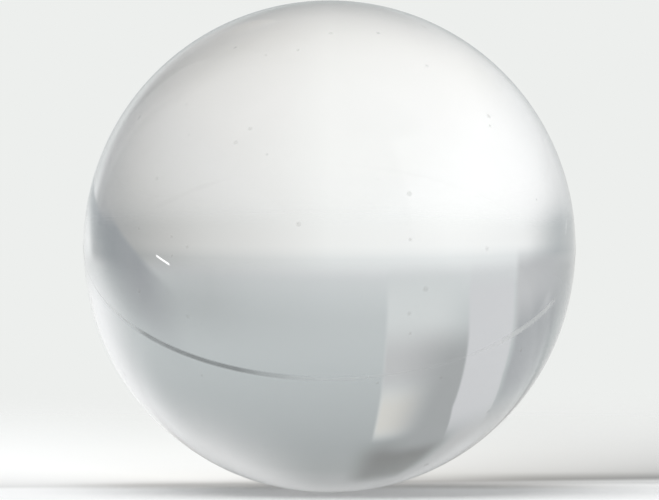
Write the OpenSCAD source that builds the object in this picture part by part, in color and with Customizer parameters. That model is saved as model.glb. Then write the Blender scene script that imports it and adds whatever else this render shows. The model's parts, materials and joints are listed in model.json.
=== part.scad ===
// Clear borosilicate ball, pressed in a two-part mould: one solid piece of glass with the
// fine raised line that the joint of the mould leaves round its middle. Millimetres.
// The origin is the ball's centre and +Z is up, as the ball lies.

/* [Ball] */
// Diameter of the round glass, without its parting line
ball_d = 50; // [10:1:100]
// Lean of the mould's axis from upright, towards the front (-Y)
mould_lean = 30.5; // [0:0.5:90]

/* [Parting line] */
// Width of the raised crown, where it meets the round of the ball
seam_w = 0.3; // [0.15:0.05:1]
// Height of the crown above the round of the ball
seam_h = 0.02; // [0.01:0.005:0.1]
// Radius of the hollow that blends each side of the crown into the ball
seam_blend_r = 0.4; // [0.1:0.05:1]

/* [Smoothness] */
// Facets round the ball when it is drawn as a mesh
round_fn = 180; // [60:12:360]

/* [Hidden] */

ball_r = ball_d / 2;

// The crown is an arc through its own top and through both edges of the line
crown_edge_x = sqrt(pow(ball_r, 2) - pow(seam_w / 2, 2));
crown_rise = ball_r + seam_h - crown_edge_x;
crown_r = (pow(seam_w / 2, 2) + pow(crown_rise, 2)) / (2 * crown_rise);
crown_x = ball_r + seam_h - crown_r;

// A blend's centre stands one blend radius outside both the ball and the crown
blend_reach = ball_r + seam_blend_r;
blend_x = (pow(blend_reach, 2) + pow(crown_x, 2) - pow(crown_r + seam_blend_r, 2)) / (2 * crown_x);
blend_y = sqrt(pow(blend_reach, 2) - pow(blend_x, 2));

// The glass under the hollow on the upper side of the crown
module seam_blend() {
    difference() {
        polygon([[0, 0], [crown_x, 0], [blend_x, blend_y]]);
        translate([blend_x, blend_y]) circle(r = seam_blend_r, $fn = round_fn);
    }
}

// Section of the ball and its parting line, right across
module section() {
    circle(r = ball_r, $fn = round_fn);
    translate([crown_x, 0]) circle(r = crown_r, $fn = round_fn);
    seam_blend();
    mirror([0, 1]) seam_blend();
}

// The section turned about the mould's axis, which then leans as the ball lies
module ball() {
    color([0.86, 0.89, 0.9, 0.4])
        rotate([mould_lean, 0, 0])
            rotate_extrude($fn = round_fn)
                intersection() {
                    section();
                    translate([0, -ball_d]) square([ball_d, 2 * ball_d]);
                }
}

ball();
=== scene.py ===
import json
import math

import bmesh
import bpy
from mathutils import Matrix, Vector


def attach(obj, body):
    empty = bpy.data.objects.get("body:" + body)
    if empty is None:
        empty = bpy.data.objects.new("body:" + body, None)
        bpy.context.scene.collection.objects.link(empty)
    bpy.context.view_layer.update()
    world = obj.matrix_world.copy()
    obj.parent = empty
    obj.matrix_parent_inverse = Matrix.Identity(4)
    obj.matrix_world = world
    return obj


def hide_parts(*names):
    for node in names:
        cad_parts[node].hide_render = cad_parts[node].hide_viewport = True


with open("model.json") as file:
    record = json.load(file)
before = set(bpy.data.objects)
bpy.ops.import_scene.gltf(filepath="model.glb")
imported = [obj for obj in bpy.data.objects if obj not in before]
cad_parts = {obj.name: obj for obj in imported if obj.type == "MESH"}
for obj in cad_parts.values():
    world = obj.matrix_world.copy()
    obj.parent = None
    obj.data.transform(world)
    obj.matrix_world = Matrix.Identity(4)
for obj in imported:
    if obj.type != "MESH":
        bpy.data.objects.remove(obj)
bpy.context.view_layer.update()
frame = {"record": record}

seat = next(m for m in frame["record"]["mounts"] if m["name"] == "seat")
ballRadius = -seat["pos_m"][2]  # the seat is the lowest point of the round glass
floorHeight = seat["pos_m"][2]


# shader maths as plain expressions

class Value:
    # one output socket, with the operators that the materials use
    def __init__(self, shader, socket):
        self.shader = shader
        self.socket = socket

    def math(self, operation, *numbers):
        inputs = {i: n for i, n in enumerate(numbers)}
        return self.shader.add("ShaderNodeMath", {"operation": operation}, inputs)

    def __add__(self, other):
        return self.math("ADD", self, other)

    __radd__ = __add__

    def __sub__(self, other):
        return self.math("SUBTRACT", self, other)

    def __rsub__(self, other):
        return self.math("SUBTRACT", other, self)

    def __mul__(self, other):
        return self.math("MULTIPLY", self, other)

    __rmul__ = __mul__

    def __truediv__(self, other):
        return self.math("DIVIDE", self, other)

    def __rtruediv__(self, other):
        return self.math("DIVIDE", other, self)

    def root(self):
        return self.math("SQRT", self)

    def vector(self, operation, *vectors):
        inputs = {i: v for i, v in enumerate(vectors)}
        return self.shader.add("ShaderNodeVectorMath", {"operation": operation}, inputs)

    def dot(self, other):
        return self.vector("DOT_PRODUCT", self, other).out("Value")

    def out(self, name):
        return Value(self.shader, self.socket.node.outputs[name])


class Shader:
    # the node tree of a material or of the world
    def __init__(self, owner):
        owner.use_nodes = True
        self.tree = owner.node_tree
        self.tree.nodes.clear()

    def add(self, kind, settings=None, inputs=None):
        node = self.tree.nodes.new(kind)
        for name, setting in (settings or {}).items():
            if name == "stops":
                self.setStops(node.color_ramp, setting)
            else:
                setattr(node, name, setting)
        for name, given in (inputs or {}).items():
            if isinstance(given, Value):
                self.tree.links.new(given.socket, node.inputs[name])
            else:
                node.inputs[name].default_value = given
        return Value(self, node.outputs[0]) if len(node.outputs) else node

    def setStops(self, ramp, stops):
        while len(ramp.elements) < len(stops):
            ramp.elements.new(1.0)
        for element, (place, colour) in zip(ramp.elements, stops):
            element.position = place
            element.color = (*colour, 1.0)

    def mix(self, share, first, second, blend="MIX"):
        inputs = {0: share, 6: first, 7: second}
        return self.add("ShaderNodeMix", {"data_type": "RGBA", "blend_type": blend}, inputs).out(2)

    def ramp(self, value, stops, start, end):
        # a colour ramp whose places are values from start to end
        places = [((place - start) / (end - start), colour) for place, colour in stops]
        share = (value - start) * (1 / (end - start))
        return self.add("ShaderNodeValToRGB", {"stops": places}, {0: share})


def rise(value, start, end):
    # 0 up to the start, 1 from the end on, with a smooth slope between
    limits = {0: value, 1: start, 2: end}
    return value.shader.add("ShaderNodeMapRange", {"interpolation_type": "SMOOTHSTEP"}, limits)


def after(azimuth, elevation, side):
    # 1 past a side of a panel: its azimuth, the width of its soft edge, and where a side leans, the
    # elevations from which it does and how far it leans for each degree above them
    place, edge, *leans = side
    for start, lean in leans:
        higher = elevation - start
        azimuth = azimuth + higher.math("MAXIMUM", higher, 0.0) * lean
    return rise(azimuth, place - edge / 2, place + edge / 2)


def between(value, low, high):
    # 1 between the two ends, each of them a place and the width of its soft edge
    ends = [rise(value, place - edge / 2, place + edge / 2) for place, edge in (low, high)]
    return ends[0] - ends[1]


# the glass ball

ball = {
    "lean": math.radians(30.5),  # of the mould's axis, from upright towards the front
    "seamWidth": 0.0003,
    "seamHeight": 0.00002,
    "seamBlend": 0.0004,  # radius of the hollow on each side of the seam
    # how finely the mesh is divided
    "sides": 480,  # around the mould's axis
    "crownSteps": 10,
    "blendSteps": 8,
    "capSteps": 84,  # from a blend to the pole
}


def arcPoints(centre, radius, start, end, steps):
    # points along an arc, without its first one
    turn = (end - start) / steps
    angles = [start + turn * (i + 1) for i in range(steps)]
    return [(centre[0] + radius * math.cos(a), centre[1] + radius * math.sin(a)) for a in angles]


def upperProfile():
    # from the top of the seam's crown up to the pole, with the crown and its blend as arcs
    r, w, h, b = ballRadius, ball["seamWidth"] / 2, ball["seamHeight"], ball["seamBlend"]
    crownDepth = r + h - math.sqrt(r * r - w * w)
    crownR = (w * w + crownDepth * crownDepth) / (2 * crownDepth)
    crownX = r + h - crownR
    reach = r + b
    blendX = (reach ** 2 + crownX ** 2 - (crownR + b) ** 2) / (2 * crownX)
    blendY = math.sqrt(reach ** 2 - blendX ** 2)
    crownEnd = math.atan2(blendY, blendX - crownX)
    blendEnd = math.atan2(blendY, blendX)
    points = [(r + h, 0.0)]
    points += arcPoints((crownX, 0.0), crownR, 0.0, crownEnd, ball["crownSteps"])
    points += arcPoints((blendX, blendY), b, crownEnd + math.pi, blendEnd + math.pi, ball["blendSteps"])
    # the cap, up to the last ring below the pole
    points += arcPoints((0.0, 0.0), r, blendEnd, math.pi / 2, ball["capSteps"])[:-1]
    return points


def makeBall():
    # the profile turned about the mould's axis, then leaned over with it
    upper = upperProfile()
    profile = [(x, -y) for x, y in reversed(upper[1:])] + upper
    mesh = bmesh.new()
    sides = ball["sides"]
    rings = []
    for x, y in profile:
        ring = []
        for k in range(sides):
            a = 2 * math.pi * k / sides
            ring.append(mesh.verts.new((x * math.cos(a), x * math.sin(a), y)))
        rings.append(ring)
    for lower, higher in zip(rings, rings[1:]):
        for k in range(sides):
            j = (k + 1) % sides
            mesh.faces.new((lower[k], lower[j], higher[j], higher[k]))
    south = mesh.verts.new((0, 0, -ballRadius))
    north = mesh.verts.new((0, 0, ballRadius))
    for k in range(sides):
        j = (k + 1) % sides
        mesh.faces.new((rings[0][j], rings[0][k], south))
        mesh.faces.new((rings[-1][k], rings[-1][j], north))
    bmesh.ops.transform(mesh, matrix=Matrix.Rotation(ball["lean"], 4, "X"), verts=mesh.verts)
    data = bpy.data.meshes.new("ball_glass")
    mesh.to_mesh(data)
    mesh.free()
    data.shade_smooth()
    piece = bpy.data.objects.new("ball_glass", data)
    bpy.context.scene.collection.objects.link(piece)
    return piece


glassLook = {
    "colour": (1.0, 1.0, 1.0),
    "index": 1.474,
    # the parting line; places along it are degrees from its front, and those to the left are negative
    # the line's grey is painted shade, darkening it along part of its front
    "paintedLineShade": (0.25, 0.25, 0.25),
    "lineRoughness": 0.35,
    "lineFade": (0.00016, 0.00036),  # distances from its middle
    "paintedShadeAlong": ((-51, 9), (-12, 22)),  # each end of the stretch of painted shade and the width of its soft edge
    "ridgeFades": ((-66, -54), (6, 30)),  # where the relief comes in on the left and goes on the right
    # how far a pale band of painted light covers it, along its front half
    "paintedLightAlong": [
        (-90, 0.0), (-74, 0.15), (-64, 0.45), (-56, 0.40), (-48, 0.0), (-20, 0.0), (-10, 0.18), (10, 0.20),
        (16, 0.10), (34, 0.10), (38, 0.30), (43, 0.22), (48, 0.66), (62, 0.62), (68, 0.10), (76, 0.0),
    ],
    "paintedLightWidth": (0.00013, 0.00042),  # from its middle, narrow and wide
    "paintedLightWidens": (30, 48),  # places along the line
    "paintedLightGrey": (0.66, 0.67, 0.66),
    # fine specks
    "speckScale": 620,  # cells to the metre
    "speckRadius": (0.12, 0.27),  # as shares of a cell
    "speckShare": 0.10,  # of the cells that hold one
    "speckCover": 0.24,
    "speckGrey": (0.42, 0.41, 0.39),
    # faint smudges
    "smudgeScale": 55,
    "smudgeFrom": (0.56, 0.74),  # heights of the noise where they come in
    "smudgeCover": 0.03,
}


def glassMaterial():
    material = bpy.data.materials.new("clear glass")
    s = Shader(material)
    place = s.add("ShaderNodeTexCoord").out("Object")
    # height above the mould's joint, and degrees along the joint from its front
    lean = ball["lean"]
    height = place.dot((0, -math.sin(lean), math.cos(lean)))
    front = place.dot((0, -math.cos(lean), -math.sin(lean)))
    sideways = s.add("ShaderNodeSeparateXYZ", {}, {0: place}).out("X")
    along = sideways.math("ARCTAN2", sideways, front) * math.degrees(1)
    away = height.math("ABSOLUTE", height)
    line = 1 - rise(away, *glassLook["lineFade"])
    patchy = s.add("ShaderNodeTexNoise", {}, {"Vector": place, "Scale": 250.0, "Detail": 2.0})
    uneven = rise(patchy, 0.35, 0.6)
    # painted shade: along part of the front the line is tinted grey
    shadeStretch = between(along, *glassLook["paintedShadeAlong"])
    dark = line * shadeStretch * (0.8 + 0.2 * uneven)
    colour = s.mix(dark, (*glassLook["colour"], 1), (*glassLook["paintedLineShade"], 1))
    behind = rise(place.dot((0, 1, 0)), -0.002, 0.002)
    left, right = glassLook["ridgeFades"]
    faint = behind.math("MAXIMUM", behind, 1 - rise(along, *left) + rise(along, *right))
    roughness = line * (0.8 + 0.2 * uneven) * (1 - faint) * glassLook["lineRoughness"]
    # where the ridge fades, the glass bends light as the round of the ball does, from inside too
    bent = s.add("ShaderNodeNewGeometry").out("Normal")
    side = bent.dot(place)
    outward = place.vector("NORMALIZE", place)
    scaled = {0: outward, "Scale": side.math("SIGN", side)}
    even = s.add("ShaderNodeVectorMath", {"operation": "SCALE"}, scaled)
    faded = s.add("ShaderNodeMix", {"data_type": "VECTOR"}, {0: faint, 4: bent, 5: even}).out(1)
    clear = s.add("ShaderNodeBsdfPrincipled", {}, {
        "Normal": faded.vector("NORMALIZE", faded),
        "Base Color": colour,
        "Roughness": roughness,
        "IOR": glassLook["index"],
        "Transmission Weight": 1.0,
    })
    # specks: a few cells of a fine net hold one each
    cells = s.add("ShaderNodeTexVoronoi", {}, {"Vector": place, "Scale": glassLook["speckScale"]})
    chance = s.add("ShaderNodeSeparateColor", {}, {0: cells.out("Color")})
    kept = chance.math("LESS_THAN", chance.out("Red"), glassLook["speckShare"])
    small, large = glassLook["speckRadius"]
    reach = (small + (large - small) * chance.out("Green")) * (1 - 0.5 * behind)
    specks = kept * (1 - rise(cells.out("Distance") / reach, 0.25, 1.0)) * glassLook["speckCover"]
    noise = {"Vector": place, "Scale": glassLook["smudgeScale"], "Detail": 4.0}
    clouds = s.add("ShaderNodeTexNoise", {}, noise)
    smudges = rise(clouds, *glassLook["smudgeFrom"]) * glassLook["smudgeCover"]
    # the pale band of painted light along the line
    narrow, wide = glassLook["paintedLightWidth"]
    width = narrow + (wide - narrow) * rise(along, *glassLook["paintedLightWidens"])
    shares = [(degrees, (share, share, share)) for degrees, share in glassLook["paintedLightAlong"]]
    held = s.ramp(along, shares, -90, 90)
    pale = (1 - rise(away / width, 0.5, 1.0)) * (0.8 + 0.2 * uneven) * held
    isPale = pale.math("GREATER_THAN", pale, 0.02)
    # specks keep their own grey; the paler grey where the band lies is painted light
    speckAndPaintedLightColour = s.mix(isPale, (*glassLook["speckGrey"], 1), (*glassLook["paintedLightGrey"], 1))
    specksAndPaintedLight = s.add("ShaderNodeBsdfPrincipled", {}, {"Base Color": speckAndPaintedLightColour, "Roughness": 0.8})
    cover = specks.math("MAXIMUM", specks + smudges, pale)
    surface = s.add("ShaderNodeMixShader", {}, {0: cover, 1: clear, 2: specksAndPaintedLight})
    s.add("ShaderNodeOutputMaterial", {}, {"Surface": surface})
    return material


print("ball")
glass = makeBall()
glass.data.materials.append(glassMaterial())
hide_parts("ball")
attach(glass, "root")


# the studio

studio = {
    "floorRadius": 0.5,
    "floorFade": (0.10, 0.30),  # where the floor gives way to the ground that the room carries on
    "keyFrom": (-130, 72),  # azimuth and elevation of the soft key lamp
    "keyWidth": 60,  # degrees across, as the ball sees it
    "keyPower": 1.69,
    # the strip lamp: azimuths, elevation at each of them, width in degrees, strength
    "strip": ((28.9, 32.4), (1.35, -0.05), 0.3, 1.5),
}

ground = {
    "front": (0.92, 0.92, 0.92),  # before the edge of the painted shade
    # painted shade behind that edge, by azimuth: darker towards the right behind and towards the left
    "shadeByAzimuth": [
        (-180, (0.93, 0.93, 0.93)),
        (-80, (0.72, 0.72, 0.72)),
        (-65, (0.74, 0.74, 0.74)),
        (-55, (0.80, 0.80, 0.80)),
        (-45, (0.85, 0.85, 0.85)),
        (-35, (0.895, 0.895, 0.895)),
        (-25, (0.93, 0.93, 0.925)),
        (-20, (0.94, 0.94, 0.935)),
        (-12, (0.905, 0.905, 0.90)),
        (0, (0.865, 0.865, 0.855)),
        (6, (0.79, 0.785, 0.775)),
        (12, (0.72, 0.715, 0.705)),
        (20, (0.64, 0.635, 0.625)),
        (30, (0.525, 0.52, 0.51)),
        (40, (0.41, 0.41, 0.405)),
        (50, (0.32, 0.323, 0.326)),
        (60, (0.29, 0.295, 0.30)),
        (180, (0.29, 0.295, 0.30)),
    ],
    "edgeTurn": 20,  # degrees from straight across
    "edgeBehind": 0.0244,  # how far behind the ball's centre the edge runs
    "edgeSoft": (0.0035, 0.16),  # at the ball, and for each metre of distance
    "edgeEnds": ((-108, 8), (68, 10)),  # azimuths that the edge runs away to, with their soft widths
    # a far shade on the left: its sides by azimuth, the distances over which it comes in, colour
    "shade": ((-83, 12), (-49, 24), (0.06, 0.26), (0.48, 0.50, 0.51)),
    # a soft painted shade along the near edge on the right: how far aside it comes in, how far behind
    # it comes in and goes, how dark it is
    "edgeShade": ((0.004, 0.024), (0.020, 0.030), (0.040, 0.064), 0.27),
    "fallFrom": (0.006, 0.02),  # how far behind the ball's centre the painted falloff comes in
    "fallAside": ((0.018, 0.032), 0.35),  # how far aside it weakens, and what is left of it there
    # painted shade by how low a place lies as the ball sees it, in degrees, and what is left of its
    # colour: darkest in a ring round the ball's foot, darker again towards the horizon
    "falloff": [
        (-90, (0.90, 0.88, 0.86)),
        (-44, (0.66, 0.645, 0.63)),
        (-40, (0.72, 0.705, 0.69)),
        (-35.5, (0.84, 0.825, 0.81)),
        (-32, (0.92, 0.905, 0.89)),
        (-26.6, (0.96, 0.95, 0.93)),
        (-17, (0.985, 0.98, 0.97)),
        (-11, (0.98, 0.98, 0.97)),
        (-8, (0.955, 0.955, 0.95)),
        (-5.7, (0.93, 0.925, 0.92)),
        (-3.6, (0.925, 0.915, 0.91)),
        (-2, (0.915, 0.91, 0.905)),
        (-1, (0.86, 0.86, 0.86)),
        (0, (0.78, 0.79, 0.795)),
    ],
    "lit": (1.075, 1.10, 1.10),  # how bright the lamps make a white floor
}

# how the sides of two panels lean
outer = ((5.5, 0.28), (25, 0.22))
inner = ((6, 0.165), (31, 0.27))

room = {
    "wallFoot": (-0.3, 3.5),  # elevations over which the ground gives way to the walls
    # elevation in degrees and the colour of the walls there
    "walls": [
        (0, (0.64, 0.66, 0.665)),
        (2, (0.63, 0.65, 0.66)),
        (3.5, (0.61, 0.64, 0.645)),
        (6, (0.57, 0.605, 0.61)),
        (9.5, (0.52, 0.555, 0.56)),
        (20, (0.455, 0.49, 0.495)),
        (40, (0.375, 0.40, 0.405)),
        (52, (0.365, 0.385, 0.385)),
        (65, (0.45, 0.46, 0.46)),
        (90, (0.85, 0.85, 0.85)),
    ],
    # what is left of the walls' colour by azimuth, and the elevations where this ends
    "side": [
        (-180, (1, 1, 1)),
        (-25, (1, 1, 1)),
        (0, (0.93, 0.93, 0.93)),
        (12, (0.85, 0.85, 0.85)),
        (20, (0.76, 0.76, 0.76)),
        (30, (0.74, 0.74, 0.74)),
        (60, (0.80, 0.80, 0.80)),
        (180, (1, 1, 1)),
    ],
    "sideTop": (6, 18),
    # a dark screen on the right, whose lower edge comes down to the floor at the foot's azimuth
    # and goes on across it
    "screen": {
        "foot": 37.3,
        "slant": 0.55,  # degrees that its edge comes down for each degree of azimuth
        "across": ((0.9, 2.2), (12, 17)),  # its lower and upper edge and their soft widths
        "azimuths": ((32, 14), (74, 12)),
        "colours": ((0.30, 0.315, 0.33), (0.24, 0.26, 0.275)),
        "darkens": (40, 55),  # azimuths over which the second colour takes over
    },
    # panels by their left, right, lower and upper sides, each an azimuth or elevation with the width
    # of its soft edge, then the colour; each lies over those before it
    "panels": [
        ((24, 44), (110, 20), (42, 34), (85, 10), (0.84, 0.84, 0.84)),
        ((56, 34), (140, 3), (6, 14), (50, 6), (0.93, 0.935, 0.945)),
        ((-110, 10), (-45, 12), (1.5, 4), (14, 16), (0.40, 0.42, 0.43)),
        ((-60, 20), (-37.4, 2.5, *outer), (0.5, 5), (16, 8), (0.49, 0.50, 0.51)),
        ((-64, 14), (-38.2, 3, *outer), (11, 10), (33, 12), (0.33, 0.345, 0.36)),
        ((-120, 20), (-38, 8), (37, 12), (75, 14), (0.49, 0.495, 0.495)),
        ((-120, 20), (-49, 16), (45, 16), (80, 14), (0.72, 0.72, 0.72)),
        ((-34, 8), (-10, 12), (41, 10), (63, 12), (0.20, 0.205, 0.20)),
        ((-22, 10), (-9, 1, (5, 0.04)), (3.5, 7), (37, 6), (0.61, 0.64, 0.64)),
        ((-22, 10), (-9, 1, (5, 0.04)), (13, 8), (23, 8), (0.49, 0.50, 0.505)),
        ((-19, 8), (-9.2, 1.5, (5, 0.04)), (25, 7), (36, 6), (0.64, 0.635, 0.60)),
        ((-36.7, 1.5, *outer), (-24.4, 1.2, *inner), (3.5, 7), (39, 14), (0.59, 0.60, 0.615)),
        ((-24.6, 1, *inner), (-17, 13), (14, 8), (44, 8), (0.34, 0.355, 0.36)),
    ],
}


def direction(azimuth, elevation):
    # azimuth is clockwise from the back, seen from above
    a, e = math.radians(azimuth), math.radians(elevation)
    return Vector((math.sin(a) * math.cos(e), math.cos(a) * math.cos(e), math.sin(e)))


def screenShare(azimuth, elevation):
    # where the leaning dark screen stands, crisp along its lower edge and soft along the rest
    screen = room["screen"]
    across = elevation + (azimuth - screen["foot"]) * screen["slant"]
    return between(across, *screen["across"]) * between(azimuth, *screen["azimuths"])


def screenColour(s, azimuth):
    light, dark = room["screen"]["colours"]
    return s.mix(rise(azimuth, *room["screen"]["darkens"]), (*light, 1), (*dark, 1))


def azimuthOf(split):
    return split.math("ARCTAN2", split.out("X"), split.out("Y")) * math.degrees(1)


def groundColour(s, azimuth, lowness, pastShadeEdge, far, fall=1.0, dim=0.0):
    # the floor's colour with its painted shade, which the world carries on to the horizon
    # painted shade behind the edge, darker towards the right behind
    shadeByAzimuth = s.ramp(azimuth, ground["shadeByAzimuth"], -180, 180)
    left, right, distances, shadeColour = ground["shade"]
    shadeByAzimuth = s.mix(between(azimuth, left, right) * far, shadeByAzimuth, (*shadeColour, 1))
    # dim is painted shade, darkening the colour towards black
    colour = s.mix(dim, s.mix(pastShadeEdge, (*ground["front"], 1), shadeByAzimuth), (0, 0, 0, 1))
    # the painted falloff darkens the colour by how low a place lies
    falloff = s.mix(fall, (1, 1, 1, 1), s.ramp(lowness, ground["falloff"], -90, 0))
    colour = s.mix(1.0, colour, falloff, "MULTIPLY")
    return s.mix(screenShare(azimuth, lowness), colour, screenColour(s, azimuth))


def makeFloor():
    mesh = bmesh.new()
    bmesh.ops.create_circle(mesh, cap_ends=True, radius=studio["floorRadius"], segments=128)
    bmesh.ops.translate(mesh, vec=(0, 0, floorHeight), verts=mesh.verts)
    data = bpy.data.meshes.new("floor")
    mesh.to_mesh(data)
    mesh.free()
    floor = bpy.data.objects.new("floor", data)
    bpy.context.scene.collection.objects.link(floor)
    material = bpy.data.materials.new("floor")
    s = Shader(material)
    split = s.add("ShaderNodeSeparateXYZ", {}, {0: s.add("ShaderNodeTexCoord").out("Object")})
    x, y = split.out("X"), split.out("Y")
    reach = (x * x + y * y).root()
    # how far past the near edge of the painted shade a place lies
    turn = math.radians(ground["edgeTurn"])
    past = y * math.cos(turn) - x * math.sin(turn) - ground["edgeBehind"]
    softNear, softMore = ground["edgeSoft"]
    pastShadeEdge = rise(past / (reach * softMore + softNear), -0.5, 0.5)
    lowness = reach.math("ARCTAN2", floorHeight, reach) * math.degrees(1)
    far = rise(reach, *ground["shade"][2])
    aside, least = ground["fallAside"]
    fall = rise(y, *ground["fallFrom"]) * (1 - (1 - least) * rise(x.math("ABSOLUTE", x), *aside))
    # a painted shade along the near edge on the right
    places, start, end, depth = ground["edgeShade"]
    dim = rise(x, *places) * (rise(y, *start) - rise(y, *end)) * depth
    colour = groundColour(s, azimuthOf(split), lowness, pastShadeEdge, far, fall, dim)
    paint = s.add("ShaderNodeBsdfDiffuse", {}, {"Color": colour})
    gone = s.add("ShaderNodeBsdfTransparent")
    surface = s.add("ShaderNodeMixShader", {}, {0: rise(reach, *studio["floorFade"]), 1: paint, 2: gone})
    s.add("ShaderNodeOutputMaterial", {}, {"Surface": surface})
    data.materials.append(material)


def makeRoom():
    world = bpy.data.worlds.new("room")
    bpy.context.scene.world = world
    s = Shader(world)
    where = s.add("ShaderNodeSeparateXYZ", {}, {0: s.add("ShaderNodeTexCoord").out("Generated")})
    azimuth = azimuthOf(where)
    elevation = where.math("ARCSINE", where.out("Z")) * math.degrees(1)
    pastShadeEdge = between(azimuth, *ground["edgeEnds"])
    below = groundColour(s, azimuth, elevation, pastShadeEdge, 1.0)
    lit = ground["lit"]
    below = s.mix(1.0, below, (*lit, 1), "MULTIPLY")
    walls = s.ramp(elevation, room["walls"], 0, 90)
    near = 1 - rise(elevation, *room["sideTop"])
    walls = s.mix(near, walls, s.ramp(azimuth, room["side"], -180, 180), "MULTIPLY")
    light = s.mix(rise(elevation, *room["wallFoot"]), below, walls)
    for left, right, low, high, colour in room["panels"]:
        share = after(azimuth, elevation, left) - after(azimuth, elevation, right)
        share = share * between(elevation, low, high)
        light = s.mix(share, light, (*colour, 1))
    light = s.mix(screenShare(azimuth, elevation), light, screenColour(s, azimuth))
    # the strip lamp is a little slanted
    azimuths, elevations, width, strength = studio["strip"]
    slant = (elevations[1] - elevations[0]) / (azimuths[1] - azimuths[0])
    above = elevation - (azimuth - azimuths[0]) * slant
    start = elevations[0]
    share = between(azimuth, (azimuths[0], 0.6), (azimuths[1], 0.6))
    share = share * between(above, (start - width / 2, 0.3), (start + width / 2, 0.3))
    light = s.mix(share, light, (strength, strength, strength, 1))
    background = s.add("ShaderNodeBackground", {}, {"Color": light, "Strength": 1.0})
    s.add("ShaderNodeOutputWorld", {}, {"Surface": background})


def makeKey():
    lamp = bpy.data.lights.new("key", "SUN")
    lamp.energy = studio["keyPower"]
    lamp.angle = math.radians(studio["keyWidth"])
    holder = bpy.data.objects.new("key", lamp)
    bpy.context.scene.collection.objects.link(holder)
    holder.location = direction(*studio["keyFrom"])
    holder.rotation_euler = holder.location.to_track_quat("Z", "Y").to_euler()
    # it lights the floor, and the glass doesn't show it
    holder.visible_glossy = False
    holder.visible_transmission = False


print("studio")
makeFloor()
makeRoom()
makeKey()


# the camera

camera = {
    "elevation": 2,
    "distance": 50 * ballRadius,
    "frameWidth": 2.6767 * ballRadius,  # what the parallel view takes in
    "aimBelow": 0.00036,  # the ball sits a little above the middle of the frame
}


def makeCamera():
    view = bpy.data.cameras.new("camera")
    view.type = "ORTHO"
    view.ortho_scale = camera["frameWidth"]
    view.clip_start = 0.01
    view.clip_end = 20
    holder = bpy.data.objects.new("camera", view)
    bpy.context.scene.collection.objects.link(holder)
    aim = Vector((0, 0, -camera["aimBelow"]))
    holder.location = aim + direction(180, camera["elevation"]) * camera["distance"]
    holder.rotation_euler = (holder.location - aim).to_track_quat("Z", "Y").to_euler()
    bpy.context.scene.camera = holder


print("camera")
makeCamera()
bpy.context.scene.view_settings.view_transform = "Standard"
